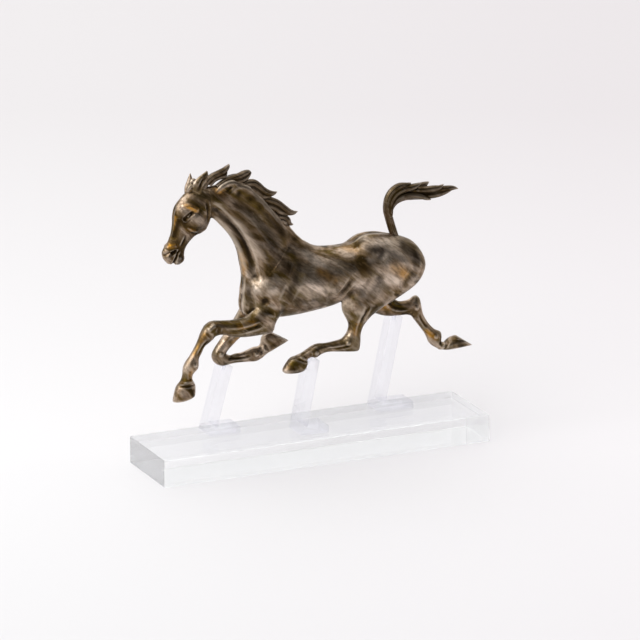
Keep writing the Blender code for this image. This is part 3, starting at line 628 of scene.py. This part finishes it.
def make_horse(bronze):
    """The castings: trunk and neck from one lump, then the head and each leg from its own.

    A lump runs on past its seams, into the next castings' first stations, so that the surfaces
    on the two sides of a seam agree.
    """
    near_fore = (NEAR_FORE_SEAM, (-80, 205), "near")
    cast({"torso": [near_fore, (FAR_FORE_SEAM, (-70, 215), "far"),
                    (NEAR_HIND_SEAM, (70, 230), "near"), (FAR_HIND_SEAM, (90, 230), "far"),
                    (NECK_SEAM, (0, 240), "all")],
          "neck": [near_fore, (HEAD_SEAM, (-100, 350), "both"), (NECK_SEAM, (-90, 330), "all")]},
         BODY_GRAIN,
         [TORSO, NECK, HEAD[:4], NEAR_FORELEG[:9], FAR_FORELEG[:6], NEAR_HIND_LEG[:11],
          FAR_HIND_LEG[:10]],
         MUSCLES, BODY_BLEND, bronze, MANE_ROOTS)
    cast({"head": [(HEAD_SEAM, (-190, 340), "both")]}, HEAD_GRAIN,
         [HEAD, NECK[-4:], NEAR_EAR, FAR_EAR], NECK_STROKES + FACE, HEAD_BLEND, bronze,
         FORELOCK)
    for name, stations, seam in (
            ("near_foreleg", NEAR_FORELEG[3:], (NEAR_FORE_SEAM, (-150, 200), "near")),
            ("far_foreleg", FAR_FORELEG[1:], (FAR_FORE_SEAM, (-115, 150), "far")),
            ("near_hind_leg", NEAR_HIND_LEG[6:], (NEAR_HIND_SEAM, (60, 160), "near")),
            ("far_hind_leg", FAR_HIND_LEG[4:], (FAR_HIND_SEAM, (160, 175), "far"))):
        cast({name: [seam]}, LEG_GRAIN, [stations], MUSCLES, 0, bronze)


# Hair: (start y, end y, radius, path); each strand swells a little and runs out to a point
FORELOCK = [
    (1, -1, 2.6, [(-166, 388), (-170, 395), (-175, 397), (-179, 393), (-180, 388)]),
    (3, 1, 2.6, [(-158, 388), (-164, 396), (-170, 403), (-174, 402), (-177, 397)]),
]
MANE_ROOTS = [
    (0, 0, 4.0, [(-142, 381), (-130, 390), (-118, 394), (-106, 392), (-94, 387)]),
    (-1, -1, 4.0, [(-120, 380), (-108, 387), (-96, 385), (-86, 378), (-78, 370)]),
    (-1, -1, 4.0, [(-104, 377), (-92, 378), (-82, 372), (-72, 362), (-66, 352)]),
    (-1, -1, 3.8, [(-88, 367), (-76, 364.5), (-67, 356), (-59, 345), (-54, 335)]),
    (-1, -1, 3.8, [(-74, 355), (-64, 351.5), (-56, 342), (-49, 330), (-44, 320)]),
    (0, 0, 3.8, [(-62, 350), (-53, 340), (-45, 328), (-38, 316), (-32, 306)]),
    (10, 10, 4.2, [(-142, 381), (-128, 390), (-112, 391), (-96, 383), (-84, 372)]),
    (10, 10, 4.2, [(-104, 377), (-90, 374.5), (-78, 364), (-68, 350), (-60, 338)]),
    (9, 9, 4.0, [(-74, 355), (-62, 348.5), (-52, 336), (-43, 320), (-36, 310)]),
    (5, 5, 3.2, [(-60, 350), (-48, 337), (-38, 325), (-29, 316), (-20, 307), (-8, 299)]),
]
MANE = {
    "mane_lock_1": [
        (4, 4, 4.0, [(-156, 389), (-150, 399), (-142, 405), (-134, 408), (-126, 411),
                     (-120, 416), (-118, 420)]),
        (3, 3, 3.2, [(-147, 394), (-140, 401), (-131, 404), (-125, 405), (-121, 410)]),
        (8, 7, 4.0, [(-156, 388), (-149, 398), (-141, 404), (-132, 407), (-124, 409)]),
    ],
    "mane_lock_2": [
        (4, 3, 4.2, [(-136, 390), (-124, 396.5), (-114, 399), (-104, 401), (-96, 404),
                     (-90, 405.5), (-86, 404.5)]),
        (2, 2, 3.8, [(-128, 388), (-116, 394), (-106, 395.5), (-98, 397), (-92, 400), (-86, 405)]),
        (8, 7, 4.0, [(-130, 391), (-118, 398), (-107, 400), (-98, 402)]),
    ],
    "mane_lock_3": [
        (3, 4, 5.0, [(-102, 387), (-93, 390), (-83, 389), (-76, 384), (-69, 377), (-62, 373),
                     (-54, 371.5), (-47.5, 373)]),
        (1, 3, 4.4, [(-98, 382), (-88, 383), (-79, 377), (-71, 371), (-62, 369), (-53, 371)]),
        (8, 7, 4.4, [(-98, 385), (-87, 386), (-78, 381), (-70, 374)]),
    ],
    "mane_lock_4": [
        (3, 4, 4.8, [(-76, 365), (-65, 364), (-56, 361), (-47, 356), (-39, 349), (-31, 343),
                     (-24, 341), (-17.5, 342)]),
        (1, 3, 4.2, [(-72, 360), (-62, 356), (-52, 351), (-43, 345), (-34, 341.5), (-24, 341)]),
        (8, 7, 4.2, [(-72, 363), (-61, 360), (-51, 355), (-43, 349)]),
    ],
    "mane_lock_5": [
        (3, 4, 4.2, [(-56, 337), (-48, 338.5), (-40, 337), (-33.5, 332), (-30, 327), (-24, 324)]),
        (2, 3, 3.8, [(-50, 332), (-43, 333), (-37, 329), (-33, 323)]),
        (8, 6, 3.8, [(-52, 335), (-44, 335), (-37, 331), (-32, 325)]),
    ],
}
TAIL = [
    (5, 5, 5.0, [(131.5, 278), (128, 289), (123.5, 301), (119, 316), (116, 328), (117, 341),
                 (124.5, 351.5), (135, 356)]),
    (3, 2, 4.6, [(119, 318), (115.5, 330), (115.5, 342), (121.5, 353), (132.5, 359.5),
                 (144, 360.5), (150.5, 363)]),
    (2, 1, 4.2, [(119, 324), (119.5, 338), (127, 349.5), (139, 355), (150, 356), (158, 358),
                 (165.5, 361)]),
    (7, 9, 4.6, [(121, 326), (121, 342), (130, 352), (143, 355), (156, 354), (168, 355),
                 (176, 357), (181, 359)]),
    (5, 3, 4.2, [(134, 352), (146, 352), (158, 351), (172, 350), (186, 350), (194, 351),
                 (200, 355)]),
    (6, 6, 4.4, [(138, 350), (152, 348), (165, 347), (179, 346), (193, 346.5), (206, 347),
                 (216, 347), (223.5, 345)]),
    (2, 0, 3.4, [(120, 320), (121, 333), (129, 342.5), (142, 346), (154, 345), (165, 342),
                 (173, 338.5), (180, 336)]),
    (6, 7, 3.4, [(120.5, 318), (123, 330), (130.5, 338), (143, 341.5), (154, 341), (163, 339),
                 (172, 336)]),
    (4, 4, 3.8, [(146, 345), (160, 343), (172, 341.5), (184, 341), (195, 342), (206, 344),
                 (214, 345.5)]),
]


def strand(bm, start_y, end_y, radius, path):
    """A tapering lock of hair along a path in the side view."""
    route = smooth_rows(path, STRAND_STEPS)
    count = len(route)
    share = np.linspace(0, 1, count)
    middles = np.stack([route[:, 0], start_y + (end_y - start_y) * share, route[:, 1]], axis=1)
    ahead = np.gradient(route, axis=0)
    ahead /= np.linalg.norm(ahead, axis=1)[:, None]
    # It swells over its first part, then runs out to a fine tip
    size = radius * np.clip((0.8 + 1.1 * share) * (1 - share**2.6), 0, 1.05) + 0.5
    ups = np.stack([-ahead[:, 1], 0 * share, ahead[:, 0]], axis=1) * size[:, None]
    sides = np.stack([0 * share, size, 0 * share], axis=1)
    skin(bm, middles, ups, sides, lambda angle, ring: (math.cos(angle), math.sin(angle)),
         STRAND_SIDES)


def cast_hair(name, strands, bronze):
    """A lock or the tail: strands fused into one casting, darker than the body."""
    bm = bmesh.new()
    for start_y, end_y, radius, path in strands:
        strand(bm, start_y, end_y, radius, path)
    clay = Clay(remesh(bm, HAIR_GRAIN))
    clay.relax(3)
    paint(clay, shade=HAIR_SHADE)
    finish_piece(name, clay.mesh, bronze)


# Where the patina is rubbed to gold; where it is worn pale, and where highlights are painted; where it is
# left dark, and where shade is painted: strength, radius and path
PATINA_AND_PAINTED_LIGHT = {
    "gold": [
        ("sides", 0.9, 5.5, [(-186, 372), (-178, 369), (-172, 366)]),
        ("sides", 1.0, 5, [(-188, 343), (-178, 338), (-167, 334)]),
        ("sides", 1.0, 5, [(-200, 356), (-202, 345), (-202, 341)]),
        ("sides", 0.8, 5, [(-209, 317), (-199, 318)]),
        ("near", 0.8, 9, [(-106, 292), (-101, 276), (-104, 264)]),
        ("near", 0.7, 8, [(-150, 382), (-136, 385), (-118, 376)]),
        ("near", 0.7, 8, [(30, 294), (46, 289), (66, 279)]),
        ("near", 0.7, 13, [(112, 258), (128, 244)]),
        ("near", 0.5, 10, [(4, 262), (22, 250)]),
        ("near_leg", 0.7, 7, [(-96, 202), (-116, 200)]),
        ("near_leg", 0.6, 7, [(-166, 192), (-180, 168)]),
        ("near_leg", 0.7, 6, [(-186, 146), (-188, 134)]),
        ("far_leg", 0.9, 7, [(186, 142), (196, 132)]),
        ("far_leg", 0.7, 8, [(84, 208), (112, 190), (138, 184)]),
        ("far_leg", 0.6, 6, [(-96, 172), (-104, 164)]),
        ("near_leg", 0.5, 7, [(60, 180), (56, 168)]),
    ],
    "pale": [
        # the face's pale strokes are partly pale patina and partly painted highlights on the brow, the
        # front of the nose, the cheek and the ear
        ("sides", 0.5, 9, [(-184, 384), (-190, 369)]),
        ("sides", 0.6, 4, [(-205, 338), (-208, 325)]),
        ("sides", 0.7, 9, [(-168, 352), (-164, 346)]),
        ("sides", 0.7, 4, [(-178, 394), (-172, 404)]),
        # painted highlights along the throat and the side of the neck
        ("near", 0.45, 9, [(-127, 350), (-97, 321), (-82, 297), (-72, 280)]),
        ("near", 0.4, 8, [(-112, 362), (-84, 338), (-58, 316), (-42, 294)]),
        # a broad painted lightening of the haunch and barrel, standing in for light that they catch
        ("sides", 0.95, 46, [(112, 264)]),
        ("sides", 0.5, 46, [(-10, 246), (24, 244)]),
        ("sides", 0.5, 30, [(80, 232)]),
        # painted highlight on the point of the shoulder
        ("near", 0.85, 13, [(-90, 246), (-80, 254), (-66, 246)]),
        ("near", 0.5, 10, [(-62, 256), (-44, 244)]),
        # painted highlight on the upper barrel behind the withers
        ("near", 0.9, 9, [(-14, 286), (8, 270)]),
        ("near", 0.8, 8, [(-26, 260), (-8, 244), (14, 226)]),
        ("near", 0.7, 8, [(-28, 226), (-12, 215), (8, 215)]),
        # painted highlight along the top of the croup
        ("near", 0.7, 9, [(62, 298), (90, 291), (124, 292)]),
        ("near", 0.6, 8, [(78, 272), (98, 274)]),
        # painted highlights on the stifle and along the ridge of the thigh
        ("near", 0.9, 11, [(56, 239), (62, 237)]),
        ("near", 0.8, 10, [(84, 246), (108, 239), (132, 228)]),
        ("near", 0.6, 9, [(152, 248), (142, 232), (122, 218)]),
        ("near", 0.5, 9, [(54, 208), (68, 224), (90, 238)]),
    ],
    "dark": [
        ("sides", 0.35, 40, [(-165, 352), (-196, 315)]),
        ("near", 0.35, 34, [(-110, 350), (-60, 310)]),
        # painted shade in and round the eye, in the grooves of the face, the nostril and the mouth, and
        # inside the near ear
        ("sides", 1.0, 6, [(-188, 353), (-182, 359), (-177, 362)]),
        ("sides", 0.7, 6, [(-192, 357), (-188, 350)]),
        ("sides", 0.8, 6, [(-195, 350), (-197, 341), (-200, 330)]),
        ("sides", 1.0, 5.5, [(-204, 307.5), (-199, 309)]),
        ("sides", 1.0, 4, [(-193, 313), (-197, 304), (-201, 295)]),
        ("sides", 0.8, 5, [(-156, 378), (-154, 367), (-152, 355)]),
        ("sides", 0.8, 5, [(-182, 332), (-188, 322), (-192, 313)]),
        ("near", 1.0, 5, [(-167, 393), (-163, 401), (-157, 409)]),
        # painted shade along the jugular groove
        ("near", 0.7, 7, [(-145, 362), (-116, 333), (-102, 311), (-93, 288), (-88, 262)]),
        ("near", 0.7, 9, [(-106, 383), (-76, 364), (-58, 342), (-46, 321), (-30, 302)]),
        ("near", 0.5, 8, [(-85, 317), (-58, 294), (-40, 274), (-30, 258)]),
        # painted shade in the groove before the shoulder
        ("near", 0.7, 8, [(-92, 262), (-95, 244), (-94, 214)]),
        ("near", 0.6, 9, [(-59, 286), (-41, 267), (-36, 250), (-46, 228)]),
        ("near", 0.5, 10, [(-26, 292), (10, 294)]),
        ("near", 0.6, 10, [(4, 262), (24, 246)]),
        # painted shade in the stifle fold
        ("near", 0.9, 7, [(52, 250), (42, 235), (32, 218)]),
        ("near", 0.5, 10, [(46, 262), (74, 256), (94, 258)]),
        # painted shade in the hollow below the hip
        ("near", 0.7, 8, [(78, 284), (96, 279)]),
        ("near", 0.7, 11, [(132, 282), (150, 268)]),
        # painted shade at the lower end of the groove behind the thigh
        ("near", 0.5, 9, [(104, 214), (88, 204)]),
        # painted shade in the groove under the triceps
        ("near_leg", 0.6, 6, [(-90, 214), (-68, 214), (-56, 208)]),
        # painted shade in the groove under the tail's upper strands
        ("sides", 1.0, 4, [(120, 324), (124, 338), (134, 346.5), (150, 348), (166, 346),
                           (180, 344)]),
    ],
}


def new_material(name, colour, roughness, metallic=0.0):
    """A material with one Principled shader, its node tree and that shader."""
    material = bpy.data.materials.new(name)
    material.use_nodes = True
    shader = material.node_tree.nodes["Principled BSDF"]
    shader.inputs["Base Color"].default_value = linear(colour)
    shader.inputs["Roughness"].default_value = roughness
    shader.inputs["Metallic"].default_value = metallic
    return material, material.node_tree, shader


def add_node(tree, kind, sockets=(), settings=(), stops=()):
    """Adds a node and returns it. sockets has, for each input's name or number, another node's
    output, a hex colour or a plain value; stops are a colour ramp's (place, grey or hex colour)."""
    node = tree.nodes.new(kind)
    for key, value in dict(settings).items():
        setattr(node, key, value)
    for key, value in dict(sockets).items():
        if isinstance(value, bpy.types.NodeSocket):
            tree.links.new(value, node.inputs[key])
        else:
            node.inputs[key].default_value = linear(value) if isinstance(value, str) else value
    for i, (place, colour) in enumerate(stops):
        element = node.color_ramp.elements[i] if i < 2 else node.color_ramp.elements.new(place)
        element.position = place
        element.color = linear(colour) if isinstance(colour, str) else (colour, colour, colour, 1)
    return node


def make_bronze():
    """Cast bronze with a hot brushed patina under wax: olive brown in the hollows, with painted shade
    there too, worn to warm metal and gold on the ridges, in soft streaks that run down and back
    along the muscles; its pale and dark layers also carry painted highlights and painted shade."""
    material, tree, shader = new_material("patinated_bronze", "#6b5a4c", 0.4, metallic=1.0)
    place = add_node(tree, "ShaderNodeTexCoord").outputs["Object"]
    along = add_node(tree, "ShaderNodeMapping", {
        "Vector": place, "Rotation": (0, math.radians(42), 0), "Scale": (4.2, 1, 1),
    }, {"vector_type": "TEXTURE"}).outputs[0]
    noise = {}
    for name, scale, detail, twist in (
            ("streaks", 62, 3, 0.5),      # soft bands about 16 mm apart
            ("patches", 34, 4, 0.8),      # olive patches about 30 mm apart
            ("rubbing", 120, 4, 0.5),     # rubbed spots about 8 mm apart
            ("brushed", 380, 3, 0.0)):    # brush marks, drawn 2.5 mm apart so that they show
        noise[name] = add_node(tree, "ShaderNodeTexNoise", {
            "Vector": along, "Scale": scale, "Detail": detail, "Distortion": twist,
        }).outputs["Fac"]
    layers = {}
    for name in ("relief", "gold", "pale", "dark"):
        layers[name] = add_node(tree, "ShaderNodeAttribute",
                                settings={"attribute_name": name}).outputs["Fac"]
    # The gold and pale layers are broken up, as a cloth leaves rubbed places; the pale layer's painted
    # highlights are broken up the same way
    broken = add_node(tree, "ShaderNodeValToRGB", {"Fac": noise["rubbing"]},
                      stops=((0.36, 0.3), (0.56, 1.0))).outputs["Color"]
    for name in ("gold", "pale"):
        layers[name] = add_node(tree, "ShaderNodeMath", {0: layers[name], 1: broken},
                                {"operation": "MULTIPLY"}).outputs[0]
    height = add_node(tree, "ShaderNodeMapRange", {
        "Value": layers["relief"], "From Min": -RELIEF_RANGE, "From Max": RELIEF_RANGE}).outputs["Result"]
    tone = add_node(tree, "ShaderNodeValToRGB", {"Fac": noise["streaks"]}, stops=(
        (0.35, "#3d2e15"), (0.65, "#bfaa95"), (0.45, "#6b5638"), (0.54, "#8d7760")))
    tone = tone.outputs["Color"]
    # Each layer lays its colour over the last: how much of it shows, from a ramp, and the colour
    for amount, stops, colour in (
            (noise["patches"], ((0.5, 0.0), (0.6, 0.75)), "#574617"),
            (noise["rubbing"], ((0.54, 0.0), (0.7, 0.5)), "#c4b09c"),
            # pale layer: pale patina and painted highlights
            (layers["pale"], ((0.0, 0.0), (1.0, 1.0)), "#d6c3b1"),
            # dark layer: dark patina and painted shade in grooves and hollows
            (layers["dark"], ((0.0, 0.0), (1.0, 0.95)), "#32240f"),
            (layers["gold"], ((0.0, 0.0), (1.0, 1.0)), "#b98326"),
            (noise["brushed"], ((0.35, 0.4), (0.6, 0.0)), "#2c2114"),
            # hollows: olive patina left in them, and painted shade
            (height, ((0.2, 0.9), (0.5, 0.0)), "#1d150c"),
            (height, ((0.58, 0.0), (0.85, 0.55)), "#d0c1b0")):
        share = add_node(tree, "ShaderNodeValToRGB", {"Fac": amount}, stops=stops).outputs["Color"]
        tone = add_node(tree, "ShaderNodeMix", {0: share, 6: tone, 7: colour},
                        {"data_type": "RGBA"}).outputs[2]
    tree.links.new(tone, shader.inputs["Base Color"])
    rough = add_node(tree, "ShaderNodeMapRange", {
        "Value": noise["rubbing"],
        "From Min": 0.35, "From Max": 0.65, "To Min": 0.48, "To Max": 0.3})
    tree.links.new(rough.outputs["Result"], shader.inputs["Roughness"])
    # The casting's own grain: shallow bumps about 2.5 mm apart
    grain = add_node(tree, "ShaderNodeTexNoise", {"Vector": place, "Scale": 420, "Detail": 3})
    bump = add_node(tree, "ShaderNodeBump", {
        "Height": grain.outputs["Fac"], "Strength": 0.35, "Distance": 0.0008})
    tree.links.new(bump.outputs["Normal"], shader.inputs["Normal"])
    return material


def make_acrylic(name, tint, clearness):
    """Cast acrylic with flame-polished faces: water clear, with a hard, mirror-like skin. Lamps
    shine straight through it, and clearness says how much of what is behind comes straight too."""
    material, tree, shader = new_material(name, "#fdfefe", 0.0)
    shader.inputs["IOR"].default_value = 1.49
    shader.inputs["Transmission Weight"].default_value = 1.0
    rays = add_node(tree, "ShaderNodeLightPath").outputs
    soft = add_node(tree, "ShaderNodeMath", {0: rays["Is Shadow Ray"], 1: rays["Is Diffuse Ray"]},
                    {"operation": "MAXIMUM"}).outputs[0]
    share = add_node(tree, "ShaderNodeMapRange", {"Value": soft, "To Min": clearness}).outputs[0]
    clear = add_node(tree, "ShaderNodeBsdfTransparent", {"Color": tint}).outputs[0]
    both = add_node(tree, "ShaderNodeMixShader", {0: share, 1: shader.outputs[0], 2: clear})
    tree.links.new(both.outputs[0], tree.nodes["Material Output"].inputs["Surface"])
    return material


def make_stand():
    """The clear base, and thinner struts and pins that bend what is behind them less."""
    block = make_acrylic("cast_acrylic", "#fafafb", 0.22)
    sheet = make_acrylic("polished_acrylic_sheet", "#fbfbfd", 0.8)
    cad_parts["base_block"].material_slots[0].material = block
    for name in ("front", "middle", "rear"):
        for part in ("strut", "pin"):
            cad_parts[f"{name}_{part}"].material_slots[0].material = sheet


def make_sun(name, direction, strength, spread):
    """A far, soft lamp that shines from a direction; spread is the width of its disc in degrees."""
    light = bpy.data.lights.new(name, "SUN")
    light.energy = strength
    light.angle = math.radians(spread)
    obj = bpy.data.objects.new(name, light)
    obj.rotation_euler = Vector(direction).to_track_quat("Z", "Y").to_euler()
    bpy.context.scene.collection.objects.link(obj)


def make_floor():
    """A pale paper sweep, lightest in the middle and softly duller to the front, back and right:
    the studio light's fall-off is painted into its colour as shade.
    """
    bm = bmesh.new()
    bmesh.ops.create_grid(bm, x_segments=1, y_segments=1, size=30)
    mesh = bpy.data.meshes.new("floor")
    bm.to_mesh(mesh)
    bm.free()
    floor = bpy.data.objects.new("floor", mesh)
    floor.location.z = -0.0003    # just under the base, so that the two faces don't meet
    paper, tree, shader = new_material("white_sweep", "#eceaeb", 0.7)
    place = add_node(tree, "ShaderNodeTexCoord").outputs["Object"]
    tones = {0: 1.0}
    # painted shade: the studio light's fall-off, darker to the front, back and right of the sweep
    for slot, direction, low, high, stops in (
            (6, TO_THE_BACK, -1.2, 1.8, ((0.0, "#d6d5d6"), (1.0, "#d1cecf"), (0.4, "#dfdedf"))),
            (7, TO_THE_RIGHT, -0.45, 0.45, ((0.0, "#ffffff"), (1.0, "#faf8f9")))):
        metres = add_node(tree, "ShaderNodeVectorMath", {0: place, 1: direction},
                          {"operation": "DOT_PRODUCT"}).outputs["Value"]
        share = add_node(tree, "ShaderNodeMapRange", {
            "Value": metres, "From Min": low, "From Max": high}).outputs[0]
        tones[slot] = add_node(tree, "ShaderNodeValToRGB", {"Fac": share},
                               stops=stops).outputs["Color"]
    fade = add_node(tree, "ShaderNodeMix", tones, {"data_type": "RGBA", "blend_type": "MULTIPLY"})
    tree.links.new(fade.outputs[2], shader.inputs["Base Color"])
    mesh.materials.append(paper)
    bpy.context.scene.collection.objects.link(floor)


def make_room():
    """A big soft light from the upper left and a bright back wall, in a room that is dim on the
    right. The wall that shows behind the object is an even white."""
    make_sun("key", (-0.9, -0.35, 0.75), 1.6, 50)
    make_sun("top", (-0.1, 0.2, 1.0), 1.0, 90)
    world = bpy.data.worlds.new("studio")
    world.use_nodes = True
    tree = world.node_tree
    towards = add_node(tree, "ShaderNodeTexCoord").outputs["Generated"]
    sides = {0: 1.0}
    for slot, direction, stops in (
            (6, (-0.8, -0.15, 0.6), ((0.5, 0.04), (0.92, 1.0), (0.75, 0.25))),
            (7, (0.35, 0.9, 0.15), ((0.45, 0.04), (1.0, 0.95), (0.62, 0.85)))):
        facing = add_node(tree, "ShaderNodeVectorMath", {
            0: towards, 1: Vector(direction).normalized()}, {"operation": "DOT_PRODUCT"})
        share = add_node(tree, "ShaderNodeMapRange", {
            "Value": facing.outputs["Value"], "From Min": -1.0, "From Max": 1.0})
        sides[slot] = add_node(tree, "ShaderNodeValToRGB", {"Fac": share.outputs[0]},
                               stops=stops).outputs["Color"]
    room = add_node(tree, "ShaderNodeMix", sides, {"data_type": "RGBA", "blend_type": "LIGHTEN"})
    seen = add_node(tree, "ShaderNodeLightPath").outputs["Is Camera Ray"]
    shade = add_node(tree, "ShaderNodeMix", {0: seen, 6: room.outputs[2], 7: "#f2f1f2"},
                     {"data_type": "RGBA"}).outputs[2]
    tree.links.new(shade, tree.nodes["Background"].inputs["Color"])
    bpy.context.scene.world = world


def make_camera():
    """A long lens, from before the near side and a little above."""
    azimuth, elevation = math.radians(CAMERA_AZIMUTH), math.radians(CAMERA_ELEVATION)
    back = Vector((math.sin(azimuth) * math.cos(elevation),
                   -math.cos(azimuth) * math.cos(elevation),
                   math.sin(elevation)))
    camera = bpy.data.cameras.new("camera")
    camera.lens = CAMERA_LENS
    camera.sensor_width = 36
    obj = bpy.data.objects.new("camera", camera)
    obj.location = Vector(CAMERA_TARGET) + back * CAMERA_DISTANCE
    obj.rotation_euler = back.to_track_quat("Z", "Y").to_euler()
    bpy.context.scene.collection.objects.link(obj)
    bpy.context.scene.camera = obj


def main():
    bronze = make_bronze()
    make_horse(bronze)
    for name, strands in MANE.items():
        cast_hair(name, strands, bronze)
    cast_hair("tail", TAIL, bronze)
    make_stand()
    make_floor()
    make_room()
    make_camera()
    bpy.context.scene.view_settings.view_transform = "Standard"


main()
